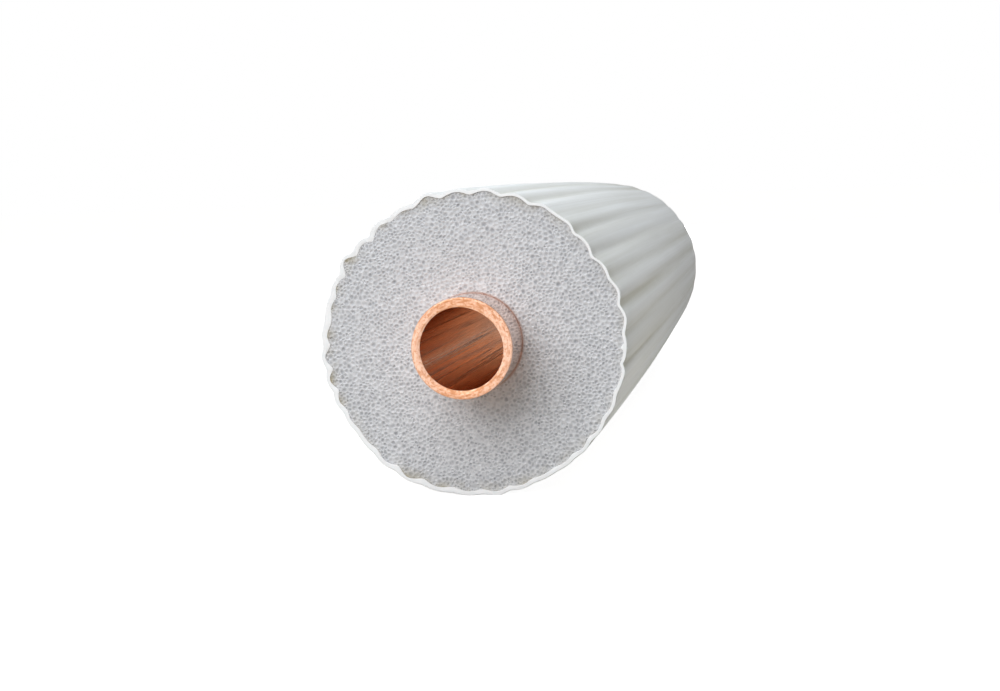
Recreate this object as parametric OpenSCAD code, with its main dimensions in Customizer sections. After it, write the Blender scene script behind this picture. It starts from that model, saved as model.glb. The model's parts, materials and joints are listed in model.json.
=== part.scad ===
// Cut length of pre-insulated copper tube: a drawn copper tube in a closed-cell foam
// sleeve, with a thin white film over the sleeve's lengthwise ribs. It lies on a level
// floor along Y, with the stripped end, where bare tube stands out of the foam, at -Y.
// All sizes are in millimetres and all angles in degrees.

/* [Copper tube] */
// Outside diameter of the copper tube, nominal 3/8 inch
tube_od = 9.52; // [6:0.01:30]
// Wall thickness of the copper tube
tube_wall = 0.8; // [0.5:0.05:2]
// Bare tube standing out of the foam at the stripped end
tube_stub = 8; // [2:0.5:60]
// Edge left by deburring, round the outside of both tube ends
rim_break = 0.1; // [0.05:0.01:0.2]
// Edge cut by reaming, round the bore at both tube ends
ream = 0.2; // [0.05:0.01:0.25]

/* [Foam sleeve] */
// Length of the foam sleeve
sleeve_length = 160; // [40:5:2000]
// Foam thickness, from the tube to the top of the highest rib
foam_thickness = 10; // [5:0.5:30]
// Slip gap between the tube and the bore of the sleeve
slip_gap = 0.05; // [0.02:0.01:0.3]

/* [Ribs] */
// Number of lengthwise ribs round the sleeve
rib_count = 35; // [12:1:60]
// Height of the highest rib above the grooves, on average round the sleeve
rib_height = 0.5; // [0.2:0.05:1.5]
// How much higher ribs stand on the side where they are highest, and lower on the other, as a share
rib_bias = 0.3; // [0:0.05:0.5]
// How much lower the lowest rib is, as a share of the rib height
rib_unevenness = 0.9; // [0:0.05:0.95]
// How far ribs stray from even spacing, where 0 is not at all
rib_wander = 1; // [0:0.05:1.2]
// Sharpness of the ribs, where a small number gives full ribs and narrow grooves
rib_sharpness = 1.4; // [0.5:0.05:2]

/* [Film jacket] */
// Thickness of the film
film_thickness = 0.25; // [0.1:0.05:1]
// How far the film dips into the grooves, as a share of their depth, on average
film_dip = 0.7; // [0.5:0.05:0.75]
// How much further it dips on the side where it lies tightest, and less on the other
film_hold = 0.25; // [0:0.05:0.25]
// Film left standing past the foam at the stripped end
film_lip = 0.3; // [0:0.05:3]

/* [Hidden] */

// Straight stretches that draw one rib
rib_steps = 8;
// Waves of the ribs' spacing: number round the sleeve, size in degrees, and direction
spacing_waves = [[1, 3.3, 208], [2, 2.1, 47], [3, 1, 10], [4, 1.2, 48]];
// Waves of the ribs' height: number round the sleeve, weight, and direction
height_waves = [[4, 0.6, 312], [6, 0.65, 260], [8, 1, 94], [11, 0.55, 81]];
// Direction of the side where ribs stand highest
high_side = 250;
// Direction in which the film lies tightest
hold_side = 130;
// Smoothness of the tube's round walls
round_facets = 96;
// Overshoot that keeps a cutting tool clear of the face it cuts through
cut_through = 1;

tube_r = tube_od/2;
bore_r = tube_r - tube_wall;
foam_crest_r = tube_r + foam_thickness;
film_crest_r = foam_crest_r + film_thickness;
overall_length = sleeve_length + tube_stub;

// Sum of waves at angle t, each given as number round the sleeve, size and direction
function wave_sum(waves, t) = [for (w = waves) w[1]*cos(w[0]*t - w[2])]*[for (w = waves) 1];

// Position u counts ribs round the sleeve from straight down, with a groove at each whole
// number. The waves move it by nothing at u = 0.
function rib_angle(u) =
    let (t = 360*u/rib_count)
        t + rib_wander*(wave_sum(spacing_waves, t) - wave_sum(spacing_waves, 0));

// Share of the full height that the rib at u reaches
rib_levels = [for (i = [0 : rib_count - 1]) wave_sum(height_waves, 360*(i + 0.5)/rib_count)];
function rib_share(u) = 1 - rib_unevenness*(max(rib_levels) - wave_sum(height_waves, 360*u/rib_count))
    /(max(rib_levels) - min(rib_levels));

// Depth below the highest rib at u
function groove_depth(u) = rib_height*(1 + rib_bias*cos(360*u/rib_count - high_side));
function rib_drop(u) = groove_depth(u)*(1 - rib_share(u)*pow(abs(sin(180*u)), rib_sharpness));

// Radius at u where the highest rib is at crest_r, dip is the share of the grooves' depth that
// is followed, and hold is how much that share changes round the sleeve
function ribbed_r(crest_r, dip, hold, u) =
    crest_r - (dip + hold*cos(rib_angle(u) - hold_side))*rib_drop(u);

// Turn that levels the two ribs beside the lowest groove, which the part rests on
foot_u = [0.5, rib_count - 0.5];
foot_r = [for (u = foot_u) ribbed_r(film_crest_r, film_dip, film_hold, u)];
foot_x = [for (i = [0, 1]) foot_r[i]*sin(rib_angle(foot_u[i]))];
foot_y = [for (i = [0, 1]) foot_r[i]*cos(rib_angle(foot_u[i]))];
settle_turn = atan((foot_y[0] - foot_y[1])/(foot_x[0] - foot_x[1]));

// Cross-section, where -Y is down
function ribbed_outline(crest_r, dip, hold) = [
    for (i = [0 : rib_count*rib_steps - 1])
        let (u = i/rib_steps, a = rib_angle(u) + settle_turn, r = ribbed_r(crest_r, dip, hold, u))
            [r*sin(a), -r*cos(a)]
];

foam_outline = ribbed_outline(foam_crest_r, 1, 0);
film_inside = ribbed_outline(foam_crest_r, film_dip, film_hold);
film_outside = ribbed_outline(film_crest_r, film_dip, film_hold);

// Height of the tube's axis above the floor
axis_height = max([for (p = film_outside) -p[1]]);

// Turns a shape built along +Z from its far end so that it lies along Y, stripped end at -Y
module lay_down() {
    translate([0, overall_length/2, axis_height])
        rotate([90, 0, 0])
            children();
}

// Drawn copper tube, cut square, with both ends deburred outside and reamed inside
module copper_tube() {
    color("#d88a62")
        lay_down()
            rotate_extrude($fn = round_facets)
                polygon([
                    [bore_r, ream],
                    [bore_r + ream, 0],
                    [tube_r - rim_break, 0],
                    [tube_r, rim_break],
                    [tube_r, overall_length - rim_break],
                    [tube_r - rim_break, overall_length],
                    [bore_r + ream, overall_length],
                    [bore_r, overall_length - ream]
                ]);
}

// Foam sleeve, ribbed outside and bored for the tube
module foam_sleeve() {
    color("#cfd0d3")
        lay_down()
            difference() {
                linear_extrude(sleeve_length)
                    polygon(foam_outline);
                translate([0, 0, -cut_through])
                    cylinder(h = sleeve_length + 2*cut_through, r = tube_r + slip_gap, $fn = round_facets);
            }
}

// Thin film drawn over the ribs, so that it rides on the highest and bridges part of each
// groove, cut a little longer than the foam at the stripped end
module film_jacket() {
    color("#f2f3f4")
        lay_down()
            linear_extrude(sleeve_length + film_lip)
                difference() {
                    polygon(film_outside);
                    polygon(film_inside);
                }
}

copper_tube();
foam_sleeve();
film_jacket();
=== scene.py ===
"""Cut length of pre-insulated copper tube: film jacket, foam sleeve, copper tube and a white stage.

Each piece is a new mesh that stands for the CAD node of the same part. Angles about the tube's axis
are measured from straight down towards +X, and the stripped end of the tube is at -Y.
"""

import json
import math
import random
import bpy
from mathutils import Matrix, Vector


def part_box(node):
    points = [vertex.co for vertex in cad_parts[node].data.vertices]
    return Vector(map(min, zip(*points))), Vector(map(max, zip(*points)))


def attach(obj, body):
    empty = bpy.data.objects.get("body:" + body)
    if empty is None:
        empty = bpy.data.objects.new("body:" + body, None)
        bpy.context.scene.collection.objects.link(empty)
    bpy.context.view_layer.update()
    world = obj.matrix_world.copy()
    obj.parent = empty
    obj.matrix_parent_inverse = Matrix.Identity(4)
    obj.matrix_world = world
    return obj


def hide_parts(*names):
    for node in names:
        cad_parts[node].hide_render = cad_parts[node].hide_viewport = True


bl_info = {
    "name": "Pre-insulated Copper Tube",
    "version": (1, 0, 0),
    "blender": (4, 5, 0),
    "location": "3D View > Sidebar > Insulated Tube",
    "description": "Models the film, the foam and the copper of a cut length of insulated tube",
    "category": "Object",
}

from bisect import bisect_right

import bmesh
import bpy
from bpy.props import FloatProperty, FloatVectorProperty, IntProperty, PointerProperty
from mathutils import Euler, Matrix, Vector, geometry, noise

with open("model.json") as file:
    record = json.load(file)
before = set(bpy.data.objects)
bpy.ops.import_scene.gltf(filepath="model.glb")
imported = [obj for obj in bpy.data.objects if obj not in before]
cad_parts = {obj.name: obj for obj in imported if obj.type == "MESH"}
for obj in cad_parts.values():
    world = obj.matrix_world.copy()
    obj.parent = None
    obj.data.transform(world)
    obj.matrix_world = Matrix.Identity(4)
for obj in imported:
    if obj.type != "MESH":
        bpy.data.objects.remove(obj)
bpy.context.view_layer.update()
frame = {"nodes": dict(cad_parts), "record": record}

MM = 0.001
MOUNTS = {mount["name"]: mount for mount in frame["record"]["mounts"]}
TUBE_LOW, TUBE_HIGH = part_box("copper_tube")
FOAM_LOW, FOAM_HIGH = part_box("foam_sleeve")
FILM_LOW, FILM_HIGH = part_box("film_jacket")
AXIS_Z = MOUNTS["tube_bore"]["pos_m"][2]
BORE_R = MOUNTS["tube_bore"]["dims"]["r_mm"]*MM
TUBE_R = MOUNTS["tube_stub"]["dims"]["r_mm"]*MM
REAM = (TUBE_HIGH.y - TUBE_LOW.y - MOUNTS["tube_bore"]["dims"]["length_mm"]*MM)/2

# Radius past which corners of the sleeve lie on its outside
OUTSIDE_R = 2*TUBE_R
# Merging distance for seams, and the angle within which corners lie on one spoke
SEAM = 0.0001*MM
SAME_SPOKE = 0.002
# Angle between two faces past which the edge between them looks sharp
SHARP_EDGE = math.radians(25)


def on_spoke(angle, radius, y):
    """Point at an angle and a radius about the tube's axis."""
    return Vector((radius*math.sin(angle), y, AXIS_Z - radius*math.cos(angle)))


def spoke_angle(point):
    """Angle of a point about the tube's axis."""
    return math.atan2(point.x, AXIS_Z - point.z)


def spoke_radius(point):
    """Distance of a point from the tube's axis."""
    return math.hypot(point.x, AXIS_Z - point.z)


def ripple(angle, y, turns, wave):
    """Smooth noise on a round wall, with so many swells in a turn and one in each wave of length."""
    return noise.noise(Vector((turns*math.sin(angle)/2, y/wave, turns*math.cos(angle)/2)))


def hump(distance, reach):
    """Share that is 1 at no distance and falls away smoothly past a reach."""
    return math.exp(-(distance/reach)**2)


def turn_from(middle, angle):
    """Shortest turn from one angle to another."""
    return (angle - middle + math.pi) % math.tau - math.pi


def leaning(angle, side, bias):
    """Share that is 1 towards a side and less by twice the bias on the opposite one."""
    return 1.0 - bias + bias*math.cos(angle - side)


def patch(angle, width, size):
    """Patch round the tube: its middle and half width, given in degrees, and its size."""
    return math.radians(angle), math.radians(width), size


def patched(patches, angle):
    """Sum of the patches at an angle."""
    return sum(size*hump(turn_from(middle, angle), width) for middle, width, size in patches)


# Shifts outwards of ribs and grooves that stand out or in from their drawn places
ODD_RIBS = (
    patch(77.5, 2.5, 0.12*MM),
    patch(80.4, 1.2, -0.12*MM),
    patch(124.0, 2.5, -0.32*MM),
    patch(135.5, 2.0, -0.14*MM),
    patch(145.0, 2.2, 0.22*MM),
    patch(196.0, 3.0, 0.25*MM),
    patch(207.5, 3.5, -0.14*MM),
    patch(218.0, 2.5, 0.12*MM),
    patch(223.5, 1.8, -0.32*MM),
    patch(236.0, 3.0, 0.18*MM),
    patch(245.0, 3.0, -0.25*MM),
)


class Outline:
    """Outside of a CAD node at its stripped end, with the odd ribs: a radius for each angle."""

    def __init__(self, node):
        corners = [vertex.co for vertex in frame["nodes"][node].data.vertices]
        end = min(corner.y for corner in corners) + SEAM
        corners = [corner for corner in corners if corner.y < end and spoke_radius(corner) > OUTSIDE_R]
        self.angles = []
        self.radii = []
        for corner in sorted(corners, key=spoke_angle):
            if not self.angles or spoke_angle(corner) > self.angles[-1] + SAME_SPOKE:
                self.angles.append(spoke_angle(corner))
                self.radii.append(0.0)
            self.radii[-1] = max(self.radii[-1], spoke_radius(corner))
        self.crest = max(self.radii)
        self.groove = min(self.radii)

    def radius(self, angle):
        """Radius at an angle, on a smooth curve through the outline's corners."""
        count = len(self.angles)
        angle = turn_from(0.0, angle)
        after = bisect_right(self.angles, angle)
        before = self.angles[after - 1] - (math.tau if after == 0 else 0)
        beyond = self.angles[after % count] + (math.tau if after == count else 0)
        share = (angle - before)/(beyond - before)
        r0, r1, r2, r3 = (self.radii[(after + step) % count] for step in (-2, -1, 0, 1))
        rise = (r2 - r0)/2
        fall = (r3 - r1)/2
        bend = 2*(r1 - r2) + rise + fall
        drawn = r1 + share*(rise + share*(3*(r2 - r1) - 2*rise - fall + share*bend))
        return drawn + patched(ODD_RIBS, angle)


FOAM_OUTLINE = Outline("foam_sleeve")
FILM_OUTLINE = Outline("film_jacket")


# Settings

def length_setting(name, description, default):
    """Length that a user may change."""
    return FloatProperty(name=name, description=description, default=default, min=0.0, precision=6,
                         subtype="DISTANCE", unit="LENGTH")


def share_setting(name, description, default):
    """Share from 0 to 1 that a user may change."""
    return FloatProperty(name=name, description=description, default=default, min=0.0, max=1.0,
                         subtype="FACTOR")


def power_setting(name, description, default):
    """Lamp power in watts that a user may change."""
    return FloatProperty(name=name, description=description, default=default, min=0.0, unit="POWER")


def colour_setting(name, description, default):
    """Colour that a user may change."""
    return FloatVectorProperty(name=name, description=description, default=default, min=0.0, max=1.0,
                               subtype="COLOR")


class FilmSettings(bpy.types.PropertyGroup):
    """Film jacket"""
    lip_unevenness: length_setting("Lip unevenness", "How far the cut lip strays along the tube", 0.1*MM)
    rib_fade: share_setting("Rib fade", "How much the ribs change in depth along the sleeve", 0.45)
    sag: length_setting("Sag", "How far the film swells between the places that grip the foam", 0.06*MM)
    settle: length_setting("Settle", "How far below the ribs the film lies where they fade", 0.1*MM)
    belly: length_setting("Belly", "How far the sleeve swells out behind the stripped end", 0.27*MM)
    oval: length_setting("Oval", "How far from round the sleeve is at the far end", 0.3*MM)
    colour: colour_setting("Colour", "Clean film", (0.90, 0.925, 0.945))
    # Haze is the colour of the painted shade in the grooves, behind the lip, on one side and along the
    # far top, and of the faint streaks
    shade_and_streak_colour: colour_setting("Haze", "Film in the grooves and along the duller streaks", (0.487, 0.48, 0.41))
    cut_colour: colour_setting("Cut edge", "Film along the cut lip", (0.945, 0.945, 0.955))


class FoamSettings(bpy.types.PropertyGroup):
    """Foam sleeve"""
    cell_pitch: length_setting("Cell pitch", "Least distance between small cut cells", 0.20*MM)
    wide_pitch: length_setting("Wide pitch", "Least distance between large cut cells", 0.50*MM)
    pit_depth: length_setting("Pit depth", "Depth of a cut cell", 0.06*MM)
    cut_swell: length_setting("Cut swell", "How far the cut faces stray from flat", 0.06*MM)
    seed: IntProperty(name="Seed", description="Start of the cells' random places", default=7)
    wall_colour: colour_setting("Cell walls", "Foam at the top of the cell walls", (0.70, 0.71, 0.738))
    # The pit colour is painted shade at the bottom of the cut cells
    pit_shade_colour: colour_setting("Pits", "Foam at the bottom of the cut cells", (0.35, 0.358, 0.385))
    # The rim colour is olive-brown painted shadow of the film lip on the foam's rim
    rim_shadow_colour: colour_setting("Rim", "Foam that the knife scorched under the film", (0.40, 0.36, 0.265))
    # The collar colour is a reddish tint on the foam round the bore
    collar_colour: colour_setting("Collar", "Foam stained by the tube at the bore", (0.48, 0.345, 0.30))


class CopperSettings(bpy.types.PropertyGroup):
    """Copper tube"""
    ream_tilt: share_setting("Ream tilt", "How unevenly the edge of the bore was reamed", 0.9)
    burr: length_setting("Burr", "How far the edge stands into the bore where it wasn't reamed", 0.2*MM)
    saw_marks: length_setting("Saw marks", "Height of the marks on the sawn ends", 0.012*MM)
    drawn_colour: colour_setting("Drawn", "Bright copper outside", (0.86, 0.58, 0.47))
    sawn_colour: colour_setting("Sawn", "Fresh copper on the sawn ends", (0.585, 0.376, 0.278))
    # The grain colour also paints shade on the top and bottom of the sawn ends
    grain_and_shade_colour: colour_setting("Saw grain", "Copper in the marks of the saw", (0.45, 0.212, 0.105))
    bore_colour: colour_setting("Bore", "Tarnished copper inside", (0.785, 0.366, 0.156))
    # The stain colour also paints shade further in the bore
    stain_and_shade_colour: colour_setting("Bore stain", "Dark streaks inside the bore", (0.16, 0.056, 0.022))
    # This colour is a painted highlight streak in the bore
    bore_highlight_colour: colour_setting("Bore gleam", "Bright streak inside the bore", (1.0, 0.985, 0.975))


class StageSettings(bpy.types.PropertyGroup):
    """Stage"""
    lens: FloatProperty(name="Lens", description="Focal length of the camera in millimetres",
                        default=79.2, min=10.0, unit="CAMERA")
    key_power: power_setting("Key power", "Power of the key lamp", 0.61)
    top_power: power_setting("Top power", "Power of the top lamp", 0.575)
    fill_power: power_setting("Fill power", "Power of the front lamp", 0.355)
    back_power: power_setting("Back power", "Power of the back lamp", 3.0)
    lamp_size: length_setting("Lamp size", "Width of each lamp", 0.22)
    key_colour: colour_setting("Key colour", "Colour of the key and back lamps", (0.99, 0.99, 1.0))
    fill_colour: colour_setting("Fill colour", "Colour of the top and front lamps", (0.88, 0.945, 1.0))
    ambient: share_setting("Ambient", "Strength of the light from all round", 0.14)


class InsulatedTubeSettings(bpy.types.PropertyGroup):
    """All settings of the insulated tube"""
    film: PointerProperty(name="Film", description="Settings of the film jacket", type=FilmSettings)
    foam: PointerProperty(name="Foam", description="Settings of the foam sleeve", type=FoamSettings)
    copper: PointerProperty(name="Copper", description="Settings of the tube", type=CopperSettings)
    stage: PointerProperty(name="Stage", description="Settings of the stage", type=StageSettings)


# Node helpers

def rgba(colour):
    """Colour with full alpha, as shader sockets take it."""
    return (*colour, 1.0)


def put(tree, kind, values=None, links=None, **properties):
    """Adds a node, sets its properties and input values, and links outputs of other nodes to it."""
    node = tree.nodes.new(kind)
    for name, value in properties.items():
        setattr(node, name, value)
    for socket, value in (values or {}).items():
        node.inputs[socket].default_value = value
    for socket, source in (links or {}).items():
        tree.links.new(source, node.inputs[socket])
    return node


# Places of the colour sockets of a Mix node, which share their names with others
FIRST_COLOUR, SECOND_COLOUR, MIXED_COLOUR = 6, 7, 2


def mix_colours(tree, mask, first, second):
    """Colour that goes from the first to the second as the mask goes from 0 to 1."""
    mix = put(tree, "ShaderNodeMix", data_type="RGBA", links={0: mask})
    for socket, colour in ((FIRST_COLOUR, first), (SECOND_COLOUR, second)):
        if isinstance(colour, bpy.types.NodeSocket):
            tree.links.new(colour, mix.inputs[socket])
        else:
            mix.inputs[socket].default_value = rgba(colour)
    return mix.outputs[MIXED_COLOUR]


def spread(tree, source, low, high, out_low=0.0, out_high=1.0):
    """Maps a range of values to another, clamped."""
    limits = {"From Min": low, "From Max": high, "To Min": out_low, "To Max": out_high}
    return put(tree, "ShaderNodeMapRange", values=limits, links={"Value": source}).outputs["Result"]


def span(tree, mask, low, high):
    """Value that goes from low to high as a mask goes from 0 to 1."""
    return spread(tree, mask, 0.0, 1.0, low, high)


def attribute(tree, name):
    """Value of an attribute of the mesh."""
    return put(tree, "ShaderNodeAttribute", attribute_name=name).outputs["Fac"]


def combine(tree, operation, first, second):
    """Joins two values, or a value and a number, by a Math node."""
    node = put(tree, "ShaderNodeMath", operation=operation, links={0: first})
    if isinstance(second, bpy.types.NodeSocket):
        tree.links.new(second, node.inputs[1])
    else:
        node.inputs[1].default_value = second
    return node.outputs[0]


def empty_tree(owner):
    """Nodes of a material or a world, turned on and emptied."""
    owner.use_nodes = True
    owner.node_tree.nodes.clear()
    return owner.node_tree


def new_material(name):
    """Node material with only a Principled shader and an output."""
    material = bpy.data.materials.new(name)
    tree = empty_tree(material)
    shader = put(tree, "ShaderNodeBsdfPrincipled")
    put(tree, "ShaderNodeOutputMaterial", links={"Surface": shader.outputs[0]})
    return material, tree, shader


def raise_bump(tree, shader, height, distance, strength):
    """Gives the shader's surface a fine relief."""
    relief = {"Strength": strength, "Distance": distance}
    bump = put(tree, "ShaderNodeBump", values=relief, links={"Height": height})
    tree.links.new(bump.outputs[0], shader.inputs["Normal"])


def new_group(name, inputs, outputs):
    """Empty shader node group with named number inputs and outputs."""
    tree = bpy.data.node_groups.new(name, "ShaderNodeTree")
    for label, default in inputs.items():
        socket = tree.interface.new_socket(label, in_out="INPUT", socket_type="NodeSocketFloat")
        socket.default_value = default
    for label in outputs:
        tree.interface.new_socket(label, in_out="OUTPUT", socket_type="NodeSocketFloat")
    return tree, put(tree, "NodeGroupInput"), put(tree, "NodeGroupOutput")


def axis_place(tree):
    """Object coordinates moved so that the tube's axis runs through their origin."""
    place = put(tree, "ShaderNodeTexCoord")
    return put(tree, "ShaderNodeVectorMath", operation="SUBTRACT", values={1: (0.0, 0.0, AXIS_Z)},
               links={0: place.outputs["Object"]}).outputs[0]


def end_group(tree, given, result, grain):
    """Puts a grain out as a mask that goes from 0 at the group's Low to 1 at its High."""
    limits = {"From Min": given.outputs["Low"], "From Max": given.outputs["High"]}
    mask = put(tree, "ShaderNodeMapRange", links={"Value": grain.outputs["Fac"], **limits})
    tree.links.new(mask.outputs["Result"], result.inputs["Mask"])
    return tree


def draw_lines_group():
    """Streaks along or round the tube, as a mask, with so many swells round, along and outwards."""
    name = "draw_lines"
    if name in bpy.data.node_groups:
        return bpy.data.node_groups[name]
    inputs = {"Around": 20.0, "Along": 0.0, "Across": 0.0, "Detail": 4.0, "Low": 0.4, "High": 0.6}
    tree, given, result = new_group(name, inputs, ["Mask"])
    place = axis_place(tree)
    across = put(tree, "ShaderNodeVectorMath", operation="MULTIPLY", values={1: (1.0, 0.0, 1.0)},
                 links={0: place})
    spoke = put(tree, "ShaderNodeVectorMath", operation="NORMALIZE", links={0: across.outputs[0]})
    turned = put(tree, "ShaderNodeVectorMath", operation="SCALE",
                 links={0: spoke.outputs[0], "Scale": given.outputs["Around"]})
    radius = put(tree, "ShaderNodeVectorMath", operation="LENGTH", links={0: across.outputs[0]})
    length = put(tree, "ShaderNodeSeparateXYZ", links={0: place})
    outwards = combine(tree, "MULTIPLY", radius.outputs["Value"], given.outputs["Across"])
    onwards = combine(tree, "MULTIPLY", length.outputs["Y"], given.outputs["Along"])
    run = combine(tree, "ADD", onwards, outwards)
    shift = put(tree, "ShaderNodeCombineXYZ", links={"Y": run})
    streak = put(tree, "ShaderNodeVectorMath", operation="ADD",
                 links={0: turned.outputs[0], 1: shift.outputs[0]})
    grain = put(tree, "ShaderNodeTexNoise", values={"Scale": 1.0},
                links={"Vector": streak.outputs[0], "Detail": given.outputs["Detail"]})
    return end_group(tree, given, result, grain)


def speckle_group():
    """Fine even grain, as a mask."""
    name = "speckle"
    if name in bpy.data.node_groups:
        return bpy.data.node_groups[name]
    inputs = {"Scale": 1000.0, "Detail": 3.0, "Low": 0.4, "High": 0.6}
    tree, given, result = new_group(name, inputs, ["Mask"])
    sizes = {label: given.outputs[label] for label in ("Scale", "Detail")}
    grain = put(tree, "ShaderNodeTexNoise", links={"Vector": axis_place(tree), **sizes})
    return end_group(tree, given, result, grain)


def use_group(tree, group, **values):
    """Places a node group with its own values and returns its mask."""
    node = put(tree, "ShaderNodeGroup", node_tree=group)
    for label, value in values.items():
        node.inputs[label.capitalize()].default_value = value
    return node.outputs["Mask"]


# Pieces

def close_seams(bm):
    """Merges the seams and turns all faces outwards."""
    bmesh.ops.remove_doubles(bm, verts=bm.verts, dist=SEAM)
    bmesh.ops.recalc_face_normals(bm, faces=bm.faces)


def shade_smooth(bm):
    """Shades the mesh smoothly, apart from its sharp edges."""
    for edge in bm.edges:
        edge.smooth = edge.calc_face_angle() < SHARP_EDGE
    for face in bm.faces:
        face.smooth = True


def new_piece(name, bm, node, materials):
    """Makes the finished bmesh a piece that stands for a CAD node."""
    mesh = bpy.data.meshes.new(name)
    bm.to_mesh(mesh)
    bm.free()
    for material in materials:
        mesh.materials.append(material)
    piece = bpy.data.objects.new(name, mesh)
    bpy.context.scene.collection.objects.link(piece)
    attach(piece, "root")
    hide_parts(node)
    return piece


def film_material(settings):
    """Satin white film with faint lengthwise streaks, and painted shade from the groove attribute in its
    grooves, behind the lip, on one side and along the far top.
    """
    material, tree, shader = new_material("film_satin")
    broad = use_group(tree, draw_lines_group(), around=14.0, along=12.0, detail=3.0, low=0.35, high=0.68)
    # Painted shade from the groove attribute, varied by broad streaks, plus faint streaks of the film's
    # own
    shade_and_streaks = combine(tree, "MULTIPLY", attribute(tree, "groove"), span(tree, broad, 0.35, 1.0))
    lines = use_group(tree, draw_lines_group(), around=70.0, along=9.0, detail=2.0, low=0.35, high=0.75)
    bands = use_group(tree, draw_lines_group(), around=10.0, along=7.0, detail=1.0, low=0.42, high=0.68)
    faint = combine(tree, "ADD", span(tree, lines, 0.0, 0.12), span(tree, bands, 0.0, 0.23))
    shade_and_streaks = combine(tree, "ADD", shade_and_streaks, faint)
    colour = mix_colours(tree, shade_and_streaks, settings.colour, settings.shade_and_streak_colour)
    tree.links.new(colour, shader.inputs["Base Color"])
    fine = use_group(tree, speckle_group(), scale=900.0, detail=3.0, low=0.3, high=0.7)
    tree.links.new(span(tree, fine, 0.48, 0.6), shader.inputs["Roughness"])
    raise_bump(tree, shader, fine, distance=0.01*MM, strength=0.4)
    return material


def film_cut_material(settings):
    """Matte white film along the cut lip."""
    material, tree, shader = new_material("film_cut_edge")
    grain = use_group(tree, speckle_group(), scale=2500.0, detail=2.0, low=0.3, high=0.7)
    colour = mix_colours(tree, grain, settings.cut_colour, settings.colour)
    tree.links.new(colour, shader.inputs["Base Color"])
    shader.inputs["Roughness"].default_value = 0.6
    return material


# Places where the lip was nicked or folded: push outwards and reach along the film
LIP_FOLDS = (
    (patch(86.5, 1.0, -0.3*MM), 0.5*MM),
    (patch(7.0, 2.2, 0.12*MM), 1.5*MM),
)
# Swells of the lip in a turn
LIP_SWELLS = 5.0
# The lip was cut back most on this side, where it lies almost flush with the foam
CUT_BACK_SIDE = math.radians(235)
CUT_BACK = 0.28*MM
# Rows of faces along the film, outside and inside, and columns round it
FILM_ROWS = 44
FILM_INNER_ROWS = 6
FILM_COLUMNS = 2*len(FILM_OUTLINE.angles)
# Half the width of the flat grid that is wrapped into the film
HALF_GRID = 0.5
# Room between the film and the foam, and the least thickness that the film keeps
FILM_CLEARANCE = 0.01*MM
THINNEST_FILM = 0.15*MM
# Share of the ribs' depth that is left far from the cut lip, and the length over which they fade
FAR_RIBS = 0.2
RIB_FADE_LENGTH = 65*MM
# Swells in a turn, and their length, of the film's grip on the ribs and of its sag
GRIP_SWELLS = (9.0, 45*MM)
SAG_SWELLS = (16.0, 25*MM)
# Depth at which a groove counts as full
FULL_GROOVE = 0.4*MM
# Share of a groove's painted shade that fades with its depth
GROOVE_FADE = 0.45
# Distance from the lip at which the soft sleeve is fullest, and the side on which its far end is widest
BELLY_PLACE = 70*MM
OVAL_SIDE = math.radians(115)
# Dips of the film into the grooves just behind the lip: share of the groove, distance and reach
HOLLOW_DEPTH = 0.3
HOLLOW_PLACE = 1.3*MM
HOLLOW_REACH = 0.9*MM
# Length behind the lip over which grooves get more painted shade, and how much more
LIP_SHADE_LENGTH = 7*MM
LIP_SHADE = 0.5
# Side on which the grooves' painted shade is darkest, and how much more than elsewhere
SHADED_SIDE = math.radians(62)
SHADED_SIDE_BIAS = 0.45
# Changes of that painted shade in places
SHADE_PATCHES = (
    patch(69.0, 9.0, -0.9),
    patch(82.0, 3.0, 0.5),
    patch(88.0, 3.0, -0.9),
    patch(94.0, 3.0, 0.3),
    patch(106.0, 4.0, 0.6),
    patch(128.0, 9.0, -0.6),
)
# Painted shade along the top of the sleeve, and the power with which it rises towards the far end
FAR_TOP_SHADE = patch(169.0, 15.0, 0.75)
FAR_TOP_SHADE_RISE = 1.5
# Changes of the film's hold on the grooves, in places where it lies looser or tighter than drawn
HOLD_PATCHES = (
    patch(250.0, 40.0, -0.35),
    patch(303.0, 14.0, 0.65),
    patch(338.0, 16.0, -0.4),
    patch(42.0, 18.0, -0.45),
)
FILM_LENGTH = FILM_HIGH.y - FILM_LOW.y
# Edges of the lip that are broken: length, and depth as a share of the film's thickness
LIP_BREAK = 0.025*MM
LIP_BREAK_SHARE = 0.12
# Faces that look at least this far towards the stripped end belong to the cut lip
LIP_FACING = 0.6
# Places of the film's materials
FILM_SATIN, FILM_CUT = range(2)
# The lip curls in over the edge of the foam: how far, and over what length
LIP_CURL = 0.06*MM
CURL_LENGTH = 0.15*MM


def film_stations():
    """Places along the film's wall, outside from the far end to the lip and back inside: a distance
    from the lip and a depth into the film, as a share of its thickness."""
    rows = [(FILM_LENGTH*(1 - row/FILM_ROWS)**2, 0.0) for row in range(FILM_ROWS)]
    rows = [(max(along, LIP_BREAK), depth) for along, depth in rows]
    rows += [(0.0, LIP_BREAK_SHARE), (0.0, 1.0 - LIP_BREAK_SHARE), (LIP_BREAK, 1.0)]
    rows += [(FILM_LENGTH*(row/FILM_INNER_ROWS)**3, 1.0) for row in range(2, FILM_INNER_ROWS + 1)]
    return rows


def swelling(settings, angle, along):
    """How far the soft sleeve stands out at an angle and a distance from the lip."""
    belly = along*(2*BELLY_PLACE - along)/BELLY_PLACE**2
    oval = (along/FILM_LENGTH)**2*math.cos(2*(angle - OVAL_SIDE))
    return settings.belly*belly + settings.oval*oval


def rib_fading(along):
    """Share of the ribs' depth that is lost at a distance from the lip."""
    return (1.0 - FAR_RIBS)*(1.0 - math.exp(-along/RIB_FADE_LENGTH))


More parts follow.
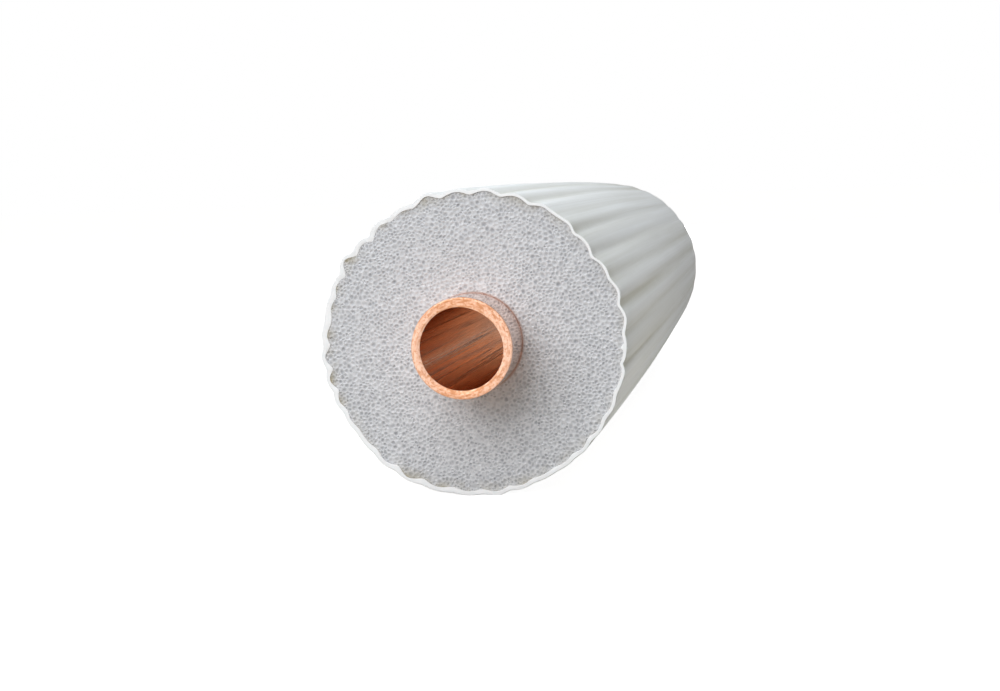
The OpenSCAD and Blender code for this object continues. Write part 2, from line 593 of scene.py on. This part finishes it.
def film_point(settings, angle, along, depth):
    """Point of the film at an angle, a distance from its lip and a depth."""
    cut_back = CUT_BACK*(1 + math.cos(angle - CUT_BACK_SIDE))/2
    lip = FILM_LOW.y + max(0.0, cut_back + settings.lip_unevenness*ripple(angle, 0.0, LIP_SWELLS, 1.0))
    y = lip + along*(FILM_HIGH.y - lip)/FILM_LENGTH
    faded = rib_fading(along)
    grip = (1.0 - faded)*(1.0 + faded*settings.rib_fade*ripple(angle, y, *GRIP_SWELLS))
    grip *= 1.0 + patched(HOLD_PATCHES, angle)
    groove = FILM_OUTLINE.crest - FILM_OUTLINE.radius(angle)
    hollow = HOLLOW_DEPTH*hump(along - HOLLOW_PLACE, HOLLOW_REACH)
    outside = FILM_OUTLINE.crest - (grip + hollow)*groove - faded*settings.settle
    outside += faded*settings.sag*ripple(angle, y, *SAG_SWELLS)
    inside = FOAM_OUTLINE.radius(angle) + FILM_CLEARANCE - LIP_CURL*hump(along, CURL_LENGTH)
    swell = swelling(settings, angle, along)
    outside += swell
    inside += min(swell, 0.0)
    outside = max(outside, inside + THINNEST_FILM)
    for fold, reach in LIP_FOLDS:
        shift = patched([fold], angle)*hump(along, reach)
        outside += max(shift, 0.0)
        inside += min(shift, 0.0)
    point = on_spoke(angle, outside + depth*(inside - outside), y)
    point.z = max(point.z, 0.0)
    return point


def film_painted_shade(angle, along):
    """Painted shade of the film at an angle and a distance from the lip: most in deep grooves, just
    behind the lip, on one side and along the far top.
    """
    deep = min((FILM_OUTLINE.crest - FILM_OUTLINE.radius(angle))/FULL_GROOVE, 1.0)
    lip_shade = LIP_SHADE*math.exp(-along/LIP_SHADE_LENGTH)
    side = leaning(angle, SHADED_SIDE, SHADED_SIDE_BIAS)*(1.0 + patched(SHADE_PATCHES, angle))
    far_top_shade = patched([FAR_TOP_SHADE], angle)*(along/FILM_LENGTH)**FAR_TOP_SHADE_RISE
    return side*deep*(1.0 - GROOVE_FADE*rib_fading(along) + lip_shade) + far_top_shade


class INSULATED_TUBE_OT_film(bpy.types.Operator):
    """Models the white film over the ribs, with its cut lip at the stripped end"""
    bl_idname = "insulated_tube.film"
    bl_label = "Film Jacket"

    def execute(self, context):
        settings = context.scene.insulated_tube.film
        stations = film_stations()
        bm = bmesh.new()
        bmesh.ops.create_grid(bm, x_segments=FILM_COLUMNS, y_segments=len(stations), size=HALF_GRID)
        # The groove attribute holds the film's painted shade, not only the grooves' depth
        groove = bm.verts.layers.float.new("groove")
        for vert in bm.verts:
            angle = math.tau*(vert.co.x + HALF_GRID)
            row = round((vert.co.y + HALF_GRID)*len(stations)) % len(stations)
            along, depth = stations[row]
            vert.co = film_point(settings, angle, along, depth)
            vert[groove] = film_painted_shade(angle, along)
        close_seams(bm)
        shade_smooth(bm)
        for face in bm.faces:
            face.material_index = FILM_CUT if face.normal.y < -LIP_FACING else FILM_SATIN
        materials = [film_material(settings), film_cut_material(settings)]
        new_piece("ribbed_film", bm, "film_jacket", materials)
        return {"FINISHED"}


def foam_material(settings):
    """Cut foam: light cell walls round pits darkened by painted shade, and painted shadow of the film
    lip along the rim.
    """
    material, tree, shader = new_material("foam_cells")
    # Painted shade: darker towards each pit's middle, by a random amount in each cell
    hollow = spread(tree, attribute(tree, "pit"), 0.1, 0.6)
    cells = combine(tree, "MULTIPLY", hollow, span(tree, attribute(tree, "tone"), 0.15, 0.7))
    blotch = use_group(tree, speckle_group(), scale=2200.0, detail=2.0, low=0.3, high=0.7)
    shade = combine(tree, "ADD", cells, span(tree, blotch, -0.25, 0.35))
    colour = mix_colours(tree, shade, settings.wall_colour, settings.pit_shade_colour)
    colour = mix_colours(tree, attribute(tree, "collar"), colour, settings.collar_colour)
    spots = use_group(tree, speckle_group(), scale=500.0, detail=3.0, low=0.4, high=0.62)
    # Painted shadow of the film lip along the rim, broken up by spots
    painted_rim_shadow = combine(tree, "MULTIPLY", attribute(tree, "rim"), spots)
    tree.links.new(mix_colours(tree, painted_rim_shadow, colour, settings.rim_shadow_colour), shader.inputs["Base Color"])
    shader.inputs["Roughness"].default_value = 0.75
    shader.inputs["Specular IOR Level"].default_value = 0.25
    grain = use_group(tree, speckle_group(), scale=6000.0, detail=2.0, low=0.3, high=0.7)
    raise_bump(tree, shader, grain, distance=0.01*MM, strength=0.4)
    return material


# Tries at placing a cell, and those over which the cells grow smaller
CELL_TRIES = 90000
WIDE_TRIES = 30000
# Points on the rim and on the bore of a cut face
RIM_POINTS = 420
BORE_POINTS = 120
# Bore of the foam, with a little room round the tube
FOAM_BORE_R = TUBE_R + 0.01*MM
# Share of the cell pitch that stays clear along both edges of a cut face
CELL_MARGIN = 0.4
# Triangles whose middles lie within this share of the bore's radius would close the bore
CLOSED_BORE = 0.98
# Kind of result and tolerance for the triangles between the cells: only those within the edges
WITHIN_EDGES = 1
CELL_TOLERANCE = 1e-5
# Widths of the swells and ripples of a cut face, and the height of a ripple as a share of a swell
SWELL_WIDTH = 3*MM
RIPPLE_WIDTH = 0.5*MM
RIPPLE_SHARE = 0.4
# Size past which larger cells are no deeper, in cell pitches, and the spread of their depths
DEEPEST_CELL = 1.5
DEPTH_SPREAD = (0.6, 1.4)
# Reach of the painted shadow along the rim's ribs, and of the reddish tint round the bore
RIM_WIDTH = 1.1*MM
COLLAR_WIDTH = 0.17*MM
# Ribs that stand this far above the grooves get the full painted shadow
SHADOWED_RIB = 0.45*MM
# Side on which the rim's painted shadow is darkest
RIM_SHADOW_SIDE = math.radians(280)
RIM_SHADOW_BIAS = 0.35
# Width and strength of the painted shadow line right under the film
EDGE_WIDTH = 0.1*MM
EDGE_SHADOW = 0.5


def cell_seeds(settings):
    """Points on both edges of a cut face, then random places of its cells, flat and in millimetres."""
    narrow = settings.cell_pitch/MM
    wide = settings.wide_pitch/MM
    margin = CELL_MARGIN*narrow
    draw = random.Random(settings.seed)
    rim = [math.tau*step/RIM_POINTS for step in range(RIM_POINTS)]
    bore = [math.tau*step/BORE_POINTS for step in range(BORE_POINTS)]
    points = [Vector((math.sin(a), -math.cos(a)))*FOAM_OUTLINE.radius(a)/MM for a in rim]
    points += [Vector((math.sin(a), -math.cos(a)))*FOAM_BORE_R/MM for a in bore]
    reach = FOAM_OUTLINE.crest/MM
    taken = {}
    for attempt in range(CELL_TRIES):
        pitch = wide + (narrow - wide)*min(1.0, attempt/WIDE_TRIES)
        x = draw.uniform(-reach, reach)
        z = draw.uniform(-reach, reach)
        edge = FOAM_OUTLINE.radius(math.atan2(x, -z))/MM
        if not FOAM_BORE_R/MM + margin < math.hypot(x, z) < edge - margin:
            continue
        column = math.floor(x/wide)
        row = math.floor(z/wide)
        around = [taken.get((column + i, row + k), ()) for i in (-1, 0, 1) for k in (-1, 0, 1)]
        near = [cell for group in around for cell in group]
        if all(math.hypot(x - u, z - v) > (pitch + other)/2 for u, v, other in near):
            taken.setdefault((column, row), []).append((x, z, pitch))
            points.append(Vector((x, z)))
    return points


def cell_plate(settings):
    """Flat mesh of the cells on the stripped end of the foam."""
    points = cell_seeds(settings)
    rim = [(step, (step + 1) % RIM_POINTS) for step in range(RIM_POINTS)]
    bore = [(RIM_POINTS + step, RIM_POINTS + (step + 1) % BORE_POINTS) for step in range(BORE_POINTS)]
    edges = rim + bore
    corners, _, faces, *_ = geometry.delaunay_2d_cdt(points, edges, [], WITHIN_EDGES, CELL_TOLERANCE)
    middles = [sum((corners[i] for i in face), Vector((0, 0)))/3 for face in faces]
    closed = FOAM_BORE_R/MM*CLOSED_BORE
    faces = [face for face, middle in zip(faces, middles) if middle.length > closed]
    mesh = bpy.data.meshes.new("cell_plate")
    mesh.from_pydata([(x*MM, FOAM_LOW.y, AXIS_Z + z*MM) for x, z in corners], [], faces)
    return mesh


def cells_from_triangles(mesh):
    """Turns a triangle mesh into the mesh of cells round its corners."""
    tree = bpy.data.node_groups.new("cells_from_triangles", "GeometryNodeTree")
    for way in ("INPUT", "OUTPUT"):
        tree.interface.new_socket("Geometry", in_out=way, socket_type="NodeSocketGeometry")
    given = put(tree, "NodeGroupInput")
    cells = put(tree, "GeometryNodeDualMesh", values={"Keep Boundaries": True},
                links={"Mesh": given.outputs[0]})
    put(tree, "NodeGroupOutput", links={0: cells.outputs[0]})
    plate = bpy.data.objects.new("cell_plate", mesh)
    bpy.context.scene.collection.objects.link(plate)
    plate.modifiers.new("cells", "NODES").node_group = tree
    shown = plate.evaluated_get(bpy.context.evaluated_depsgraph_get())
    bm = bmesh.new()
    bm.from_mesh(shown.to_mesh())
    bpy.data.objects.remove(plate)
    bpy.data.meshes.remove(mesh)
    bpy.data.node_groups.remove(tree)
    return bm


def cut_cells(bm, settings):
    """Hollows every cell of the plate into a pit, and marks the pits for painted shade, the rim for
    painted shadow and the collar for a reddish tint.
    """
    draw = random.Random(settings.seed + 1)
    pit = bm.verts.layers.float.new("pit")
    rim = bm.verts.layers.float.new("rim")
    collar = bm.verts.layers.float.new("collar")
    tone = bm.faces.layers.float.new("tone")
    cells = list(bm.faces)
    for vert in bm.verts:
        swell = noise.noise(vert.co/SWELL_WIDTH) + RIPPLE_SHARE*noise.noise(vert.co/RIPPLE_WIDTH)
        vert.co.y += settings.cut_swell*swell
    for cell in cells:
        cell[tone] = draw.random()
    for middle in bmesh.ops.poke(bm, faces=cells)["verts"]:
        size = math.sqrt(sum(face.calc_area() for face in middle.link_faces))/settings.cell_pitch
        middle.co.y += settings.pit_depth*min(size, DEEPEST_CELL)*draw.uniform(*DEPTH_SPREAD)
        middle[pit] = 1.0
    for vert in bm.verts:
        angle = spoke_angle(vert.co)
        edge = FOAM_OUTLINE.radius(angle)
        inwards = edge - spoke_radius(vert.co)
        tip = (edge - FOAM_OUTLINE.groove)/SHADOWED_RIB
        painted_rim_shadow = tip*max(0.0, 1.0 - inwards/RIM_WIDTH) + EDGE_SHADOW*hump(inwards, EDGE_WIDTH)
        vert[rim] = leaning(angle, RIM_SHADOW_SIDE, RIM_SHADOW_BIAS)*painted_rim_shadow
        vert[collar] = max(0.0, 1.0 - (spoke_radius(vert.co) - FOAM_BORE_R)/COLLAR_WIDTH)


def draw_in(verts, film):
    """Draws the far foam face in where the film is drawn in there, most at its rim."""
    for vert in verts:
        angle = spoke_angle(vert.co)
        radius = spoke_radius(vert.co)
        share = (radius - FOAM_BORE_R)/(FOAM_OUTLINE.crest - FOAM_BORE_R)
        shift = share*min(swelling(film, angle, FILM_LENGTH), 0.0)
        vert.co = on_spoke(angle, radius + shift, vert.co.y)


def edge_loop(bm, low, high):
    """Open edges of the bmesh that lie between two radii."""
    edges = [edge for edge in bm.edges if edge.is_boundary]
    return [edge for edge in edges if low < spoke_radius(edge.verts[0].co) < high]


class INSULATED_TUBE_OT_foam(bpy.types.Operator):
    """Models the foam sleeve, with every cut cell of its two end faces"""
    bl_idname = "insulated_tube.foam"
    bl_label = "Foam Sleeve"

    def execute(self, context):
        settings = context.scene.insulated_tube.foam
        bm = cells_from_triangles(cell_plate(settings))
        cut_cells(bm, settings)
        copy = bmesh.ops.duplicate(bm, geom=bm.verts[:] + bm.edges[:] + bm.faces[:])["geom"]
        middle = (FOAM_LOW.y + FOAM_HIGH.y)/2
        flip = Matrix.Translation((0, 2*middle, 0)) @ Matrix.Scale(-1, 4, (0, 1, 0))
        far = [part for part in copy if isinstance(part, bmesh.types.BMVert)]
        bmesh.ops.transform(bm, matrix=flip, verts=far)
        draw_in(far, context.scene.insulated_tube.film)
        between = (FOAM_BORE_R + FOAM_OUTLINE.crest)/2
        bmesh.ops.bridge_loops(bm, edges=edge_loop(bm, between, 2*between))
        bmesh.ops.bridge_loops(bm, edges=edge_loop(bm, 0.0, between))
        bmesh.ops.recalc_face_normals(bm, faces=bm.faces)
        foam = new_piece("cut_foam", bm, "foam_sleeve", [foam_material(settings)])
        return {"FINISHED"}


def drawn_material(settings):
    """Bright drawn copper with faint lengthwise lines."""
    material, tree, shader = new_material("copper_drawn")
    lines = use_group(tree, draw_lines_group(), around=40.0, along=25.0, detail=3.0, low=0.3, high=0.7)
    colour = mix_colours(tree, lines, settings.drawn_colour, settings.sawn_colour)
    tree.links.new(colour, shader.inputs["Base Color"])
    shader.inputs["Metallic"].default_value = 1.0
    tree.links.new(span(tree, lines, 0.03, 0.07), shader.inputs["Roughness"])
    return material


def sawn_material(settings):
    """Fresh copper with the grain that the saw left, and painted shade on the top and bottom of the sawn
    ring.
    """
    material, tree, shader = new_material("copper_sawn")
    arcs = use_group(tree, draw_lines_group(), around=6.0, across=5000.0, detail=3.0,
                     low=0.44, high=0.68)
    speckle = use_group(tree, speckle_group(), scale=4500.0, detail=2.0, low=0.45, high=0.68)
    grain = combine(tree, "MAXIMUM", arcs, speckle)
    # Painted shade on the top and bottom of the sawn ring, from the square of the angle's cosine
    shade = combine(tree, "ADD", grain, span(tree, attribute(tree, "painted_end_shade"), -0.2, 0.33))
    colour = mix_colours(tree, shade, settings.sawn_colour, settings.grain_and_shade_colour)
    tree.links.new(colour, shader.inputs["Base Color"])
    shader.inputs["Metallic"].default_value = 1.0
    tree.links.new(span(tree, grain, 0.5, 0.7), shader.inputs["Roughness"])
    raise_bump(tree, shader, grain, distance=0.02*MM, strength=0.4)
    return material


# Tint of what the bore reflects at a glancing angle
BORE_TINT = (0.955, 0.92, 0.845)


def bore_material(settings):
    """Tarnished copper inside the bore, with dark streaks left by drawing, painted shade further in and
    a painted highlight streak near the mouth.
    """
    material, tree, shader = new_material("copper_bore")
    broad = use_group(tree, draw_lines_group(), around=9.0, along=30.0, detail=4.0, low=0.53, high=0.73)
    thin = use_group(tree, draw_lines_group(), around=28.0, along=14.0, detail=3.0, low=0.49, high=0.67)
    streaks = combine(tree, "MAXIMUM", broad, thin)
    # Painted shade further in the bore joins the drawn streaks
    stain_and_shade = combine(tree, "MAXIMUM", streaks, attribute(tree, "painted_bore_shade"))
    colour = mix_colours(tree, stain_and_shade, settings.bore_colour, settings.stain_and_shade_colour)
    # Painted highlight streak near the mouth of the bore
    colour = mix_colours(tree, attribute(tree, "painted_bore_highlight"), colour, settings.bore_highlight_colour)
    tree.links.new(colour, shader.inputs["Base Color"])
    shader.inputs["Metallic"].default_value = 1.0
    shader.inputs["Specular Tint"].default_value = rgba(BORE_TINT)
    tree.links.new(span(tree, stain_and_shade, 0.09, 0.28), shader.inputs["Roughness"])
    raise_bump(tree, shader, stain_and_shade, distance=0.004*MM, strength=0.5)
    return material


# Steps round the tube, rows of faces over a sawn end, and rows along a wall
TUBE_STEPS = 180
RING_ROWS = 8
WALL_ROWS = 16
# Edge broken round the outside of the sawn ends, and the share of it at which it is rounded
RIM_BREAK = 0.1*MM
RIM_ROUND = 0.3
# Width of the flat ring of a sawn end
RING_WIDTH = TUBE_R - RIM_BREAK - BORE_R - REAM
# Side that was reamed most, slope of the reamed edge, and reach of the burr on the opposite side
REAM_HEAVY_SIDE = math.radians(325)
REAM_SLOPE = 0.35
BURR_WIDTH = math.radians(45)
# Width of the saw's marks
SAW_PITCH = 0.35*MM
# Painted highlight streak in the bore, and how far it reaches from the mouth
BORE_HIGHLIGHT = patch(290.0, 6.5, 1.0)
BORE_HIGHLIGHT_LENGTH = 36*MM
# Painted shade in the bore, its distance from the mouth and its reach along the bore
BORE_SHADE = patch(283.0, 24.0, 0.6)
BORE_SHADE_PLACE = 50*MM
BORE_SHADE_REACH = 15*MM
# Faces that look at least this far along the tube belong to its sawn ends
END_FACING = 0.3
# Places of the tube's materials
COPPER_DRAWN, COPPER_SAWN, COPPER_BORE = range(3)


def tube_profile():
    """Half section of the tube as a closed run of radius and distance along Y: over the near end, along
    the outside, over the far end and back along the bore."""
    length = TUBE_HIGH.y - TUBE_LOW.y
    ring = [BORE_R + REAM + RING_WIDTH*row/RING_ROWS for row in range(RING_ROWS + 1)]
    wall = [length*(row/WALL_ROWS)**2 for row in range(1, WALL_ROWS)]
    near = [(BORE_R, REAM)] + [(radius, 0.0) for radius in ring]
    near += [(TUBE_R - RIM_ROUND*RIM_BREAK, RIM_ROUND*RIM_BREAK), (TUBE_R, RIM_BREAK)]
    far = [(radius, length - along) for radius, along in reversed(near)]
    outside = [(TUBE_R, along) for along in wall]
    inside = [(BORE_R, along) for along in reversed(wall)]
    return near + outside + far + inside


def spin_profile(bm, profile):
    """Turns a closed half section about the tube's axis."""
    verts = [bm.verts.new(on_spoke(0.0, radius, TUBE_LOW.y + along)) for radius, along in profile]
    edges = [bm.edges.new((verts[i - 1], verts[i])) for i in range(len(verts))]
    bmesh.ops.spin(bm, geom=verts + edges, cent=(0, 0, AXIS_Z), axis=(0, 1, 0), angle=math.tau,
                   steps=TUBE_STEPS, use_merge=True)
    close_seams(bm)


def work_tube_end(bm, settings):
    """Roughens the sawn end and makes its reamed edge uneven."""
    for vert in bm.verts:
        angle = spoke_angle(vert.co)
        radius = spoke_radius(vert.co)
        along = vert.co.y - TUBE_LOW.y
        if along > REAM + SEAM:
            continue
        ream = REAM*(1 + settings.ream_tilt*math.cos(angle - REAM_HEAVY_SIDE))
        if radius < BORE_R + SEAM:
            burr = settings.burr*hump(turn_from(REAM_HEAVY_SIDE + math.pi, angle), BURR_WIDTH)
            vert.co = on_spoke(angle, BORE_R - burr, TUBE_LOW.y + REAM_SLOPE*ream)
        elif along < SEAM:
            share = (radius - BORE_R - REAM)/RING_WIDTH
            radius = BORE_R + ream + share*(TUBE_R - RIM_BREAK - BORE_R - ream)
            mark = settings.saw_marks*noise.noise(Vector((vert.co.x, 0.0, vert.co.z))/SAW_PITCH)
            vert.co = on_spoke(angle, radius, TUBE_LOW.y + max(mark, 0.0))


def mark_copper(bm):
    """Marks the painted highlight streak and the painted shade in the bore, and the painted shade on the
    top and bottom of the sawn ends.
    """
    painted_bore_highlight = bm.verts.layers.float.new("painted_bore_highlight")
    painted_bore_shade = bm.verts.layers.float.new("painted_bore_shade")
    painted_end_shade = bm.verts.layers.float.new("painted_end_shade")
    for vert in bm.verts:
        angle = spoke_angle(vert.co)
        along = vert.co.y - TUBE_LOW.y
        vert[painted_bore_highlight] = patched([BORE_HIGHLIGHT], angle)*hump(along, BORE_HIGHLIGHT_LENGTH)
        vert[painted_bore_shade] = patched([BORE_SHADE], angle)*hump(along - BORE_SHADE_PLACE, BORE_SHADE_REACH)
        vert[painted_end_shade] = math.cos(angle)**2


class INSULATED_TUBE_OT_copper(bpy.types.Operator):
    """Models the copper tube, with its sawn and reamed ends"""
    bl_idname = "insulated_tube.copper"
    bl_label = "Copper Tube"

    def execute(self, context):
        settings = context.scene.insulated_tube.copper
        bm = bmesh.new()
        spin_profile(bm, tube_profile())
        work_tube_end(bm, settings)
        bm.normal_update()
        mark_copper(bm)
        shade_smooth(bm)
        for face in bm.faces:
            face.material_index = COPPER_DRAWN
            if abs(face.normal.y) > END_FACING:
                face.material_index = COPPER_SAWN
            elif spoke_radius(face.calc_center_median()) < (BORE_R + TUBE_R)/2:
                face.material_index = COPPER_BORE
        materials = [drawn_material(settings), sawn_material(settings), bore_material(settings)]
        new_piece("drawn_tube", bm, "copper_tube", materials)
        return {"FINISHED"}


# Stage

# Place of the camera from the middle of the cut face, and its turns
CAMERA_FROM_FACE = Vector((29.67, -209.28, 16.08))*MM
CAMERA_YAW = math.radians(-7.381)
CAMERA_PITCH = math.radians(4.440)
CAMERA_TURN = math.radians(2.0)
CLIP_START = 10*MM
# Directions and distances of the lamps from the middle of the cut face
KEY_DIRECTION = Vector((-0.34, -0.78, 0.52))
KEY_DISTANCE = 0.3
TOP_DIRECTION = Vector((0.10, -0.05, 1.0))
TOP_DISTANCE = 0.3
FILL_DIRECTION = Vector((-0.15, -1.0, 0.15))
FILL_DISTANCE = 0.4
BACK_DIRECTION = Vector((0.0, 1.0, 0.06))
BACK_DISTANCE = 1.2
# Mirror bounces that light makes on its way through the bore
BORE_BOUNCES = 16
# Width of the floor
FLOOR_SIZE = 8.0
# Light of the floor's own, and the colour with which it adds what falls on it
FLOOR_GLOW = 0.935
FLOOR_SHADE = (0.5, 0.5, 0.5)
# Colours of the floor for the light that it throws back, in front of the sleeve and beside it
FRONT_BOUNCE = (0.285, 0.26, 0.215)
SIDE_BOUNCE = (0.66, 0.603, 0.495)
# Distances behind the cut face at which the second is fullest and ends
BOUNCE_RISE = 10*MM
BOUNCE_END = 110*MM
# Colours of the world, as it is seen and as it lights the object
WHITE = (1.0, 1.0, 1.0)
AMBIENT_COLOUR = (1.0, 0.965, 0.89)


def seen_rays(tree):
    """Mask that is 1 for what the camera sees, directly, in a mirror or through glass."""
    path = put(tree, "ShaderNodeLightPath")
    seen = combine(tree, "MAXIMUM", path.outputs["Is Camera Ray"], path.outputs["Is Glossy Ray"])
    return combine(tree, "MAXIMUM", seen, path.outputs["Is Transmission Ray"])


def floor_material():
    """White floor that keeps a soft shadow, and a plain pale floor for the light that it throws back."""
    material = bpy.data.materials.new("stage_white")
    tree = empty_tree(material)
    place = put(tree, "ShaderNodeTexCoord")
    along = put(tree, "ShaderNodeSeparateXYZ", links={0: place.outputs["Object"]}).outputs["Y"]
    fullest = FOAM_LOW.y + BOUNCE_RISE
    rise = spread(tree, along, FOAM_LOW.y, fullest)
    fall = spread(tree, along, fullest, FOAM_LOW.y + BOUNCE_END, 1.0, 0.0)
    beside = combine(tree, "MINIMUM", rise, fall)
    bounce = mix_colours(tree, beside, FRONT_BOUNCE, SIDE_BOUNCE)
    plain = put(tree, "ShaderNodeBsdfDiffuse", links={"Color": bounce})
    shade = put(tree, "ShaderNodeBsdfDiffuse", values={"Color": rgba(FLOOR_SHADE)})
    glow = put(tree, "ShaderNodeEmission", values={"Strength": FLOOR_GLOW})
    white = put(tree, "ShaderNodeAddShader", links={0: shade.outputs[0], 1: glow.outputs[0]})
    mix = put(tree, "ShaderNodeMixShader",
              links={0: seen_rays(tree), 1: plain.outputs[0], 2: white.outputs[0]})
    put(tree, "ShaderNodeOutputMaterial", links={"Surface": mix.outputs[0]})
    return material


def white_world(ambient):
    """World that looks white and lights the object from all round."""
    world = bpy.data.worlds.new("studio")
    tree = empty_tree(world)
    seen = seen_rays(tree)
    colour = mix_colours(tree, seen, AMBIENT_COLOUR, WHITE)
    strength = span(tree, seen, ambient, 1.0)
    sky = put(tree, "ShaderNodeBackground", links={"Color": colour, "Strength": strength})
    put(tree, "ShaderNodeOutputWorld", links={"Surface": sky.outputs[0]})
    return world


def add_lamp(name, size, target, direction, distance, power, colour, mirrored):
    """Square lamp that shines on a target from a direction, and may be seen in what mirrors it."""
    lamp = bpy.data.lights.new(name, "AREA")
    lamp.energy = power
    lamp.size = size
    lamp.color = colour
    holder = bpy.data.objects.new(name, lamp)
    holder.location = target + direction.normalized()*distance
    holder.rotation_euler = direction.to_track_quat("Z", "Y").to_euler()
    holder.visible_glossy = mirrored
    bpy.context.scene.collection.objects.link(holder)


class INSULATED_TUBE_OT_stage(bpy.types.Operator):
    """Sets up the white floor, the light and the camera"""
    bl_idname = "insulated_tube.stage"
    bl_label = "Stage"

    def execute(self, context):
        scene = context.scene
        settings = scene.insulated_tube.stage
        scene.view_settings.view_transform = "Standard"
        scene.cycles.glossy_bounces = BORE_BOUNCES
        scene.world = white_world(settings.ambient)

        bm = bmesh.new()
        bmesh.ops.create_grid(bm, x_segments=1, y_segments=1, size=FLOOR_SIZE/2)
        mesh = bpy.data.meshes.new("floor")
        bm.to_mesh(mesh)
        bm.free()
        mesh.materials.append(floor_material())
        floor = bpy.data.objects.new("floor", mesh)
        scene.collection.objects.link(floor)

        face_middle = Vector((0.0, FOAM_LOW.y, AXIS_Z))
        lamps = (
            ("key", KEY_DIRECTION, KEY_DISTANCE, settings.key_power, settings.key_colour, True),
            ("top", TOP_DIRECTION, TOP_DISTANCE, settings.top_power, settings.fill_colour, True),
            ("fill", FILL_DIRECTION, FILL_DISTANCE, settings.fill_power, settings.fill_colour, True),
            ("back", BACK_DIRECTION, BACK_DISTANCE, settings.back_power, settings.key_colour, False),
        )
        for name, *lamp in lamps:
            add_lamp(name, settings.lamp_size, face_middle, *lamp)

        lens = bpy.data.cameras.new("camera")
        lens.lens = settings.lens
        lens.clip_start = CLIP_START
        camera = bpy.data.objects.new("camera", lens)
        aim = Euler((math.pi/2 - CAMERA_PITCH, 0.0, -CAMERA_YAW)).to_matrix().to_4x4()
        turn = Matrix.Translation(face_middle) @ Matrix.Rotation(CAMERA_TURN, 4, "Y")
        camera.matrix_world = turn @ Matrix.Translation(CAMERA_FROM_FACE) @ aim
        scene.collection.objects.link(camera)
        scene.camera = camera
        return {"FINISHED"}


class INSULATED_TUBE_PT_panel(bpy.types.Panel):
    """Lists the pieces of the insulated tube and their settings"""
    bl_idname = "INSULATED_TUBE_PT_panel"
    bl_label = "Insulated Tube"
    bl_space_type = "VIEW_3D"
    bl_region_type = "UI"
    bl_category = "Insulated Tube"

    def draw(self, context):
        settings = context.scene.insulated_tube
        for operator, group in PANEL_ROWS:
            box = self.layout.box()
            box.operator(operator.bl_idname)
            values = getattr(settings, group)
            for name in values.__annotations__:
                box.prop(values, name)


PANEL_ROWS = (
    (INSULATED_TUBE_OT_film, "film"),
    (INSULATED_TUBE_OT_foam, "foam"),
    (INSULATED_TUBE_OT_copper, "copper"),
    (INSULATED_TUBE_OT_stage, "stage"),
)
CLASSES = (
    FilmSettings,
    FoamSettings,
    CopperSettings,
    StageSettings,
    InsulatedTubeSettings,
    *(operator for operator, _ in PANEL_ROWS),
    INSULATED_TUBE_PT_panel,
)


def register():
    """Registers the settings, the operators and the panel."""
    for kind in CLASSES:
        bpy.utils.register_class(kind)
    bpy.types.Scene.insulated_tube = PointerProperty(type=InsulatedTubeSettings)


def unregister():
    """Takes back what register() added."""
    del bpy.types.Scene.insulated_tube
    for kind in reversed(CLASSES):
        bpy.utils.unregister_class(kind)


def main():
    register()
    bpy.ops.insulated_tube.film()
    bpy.ops.insulated_tube.foam()
    bpy.ops.insulated_tube.copper()
    bpy.ops.insulated_tube.stage()


if __name__ == "__main__":
    main()
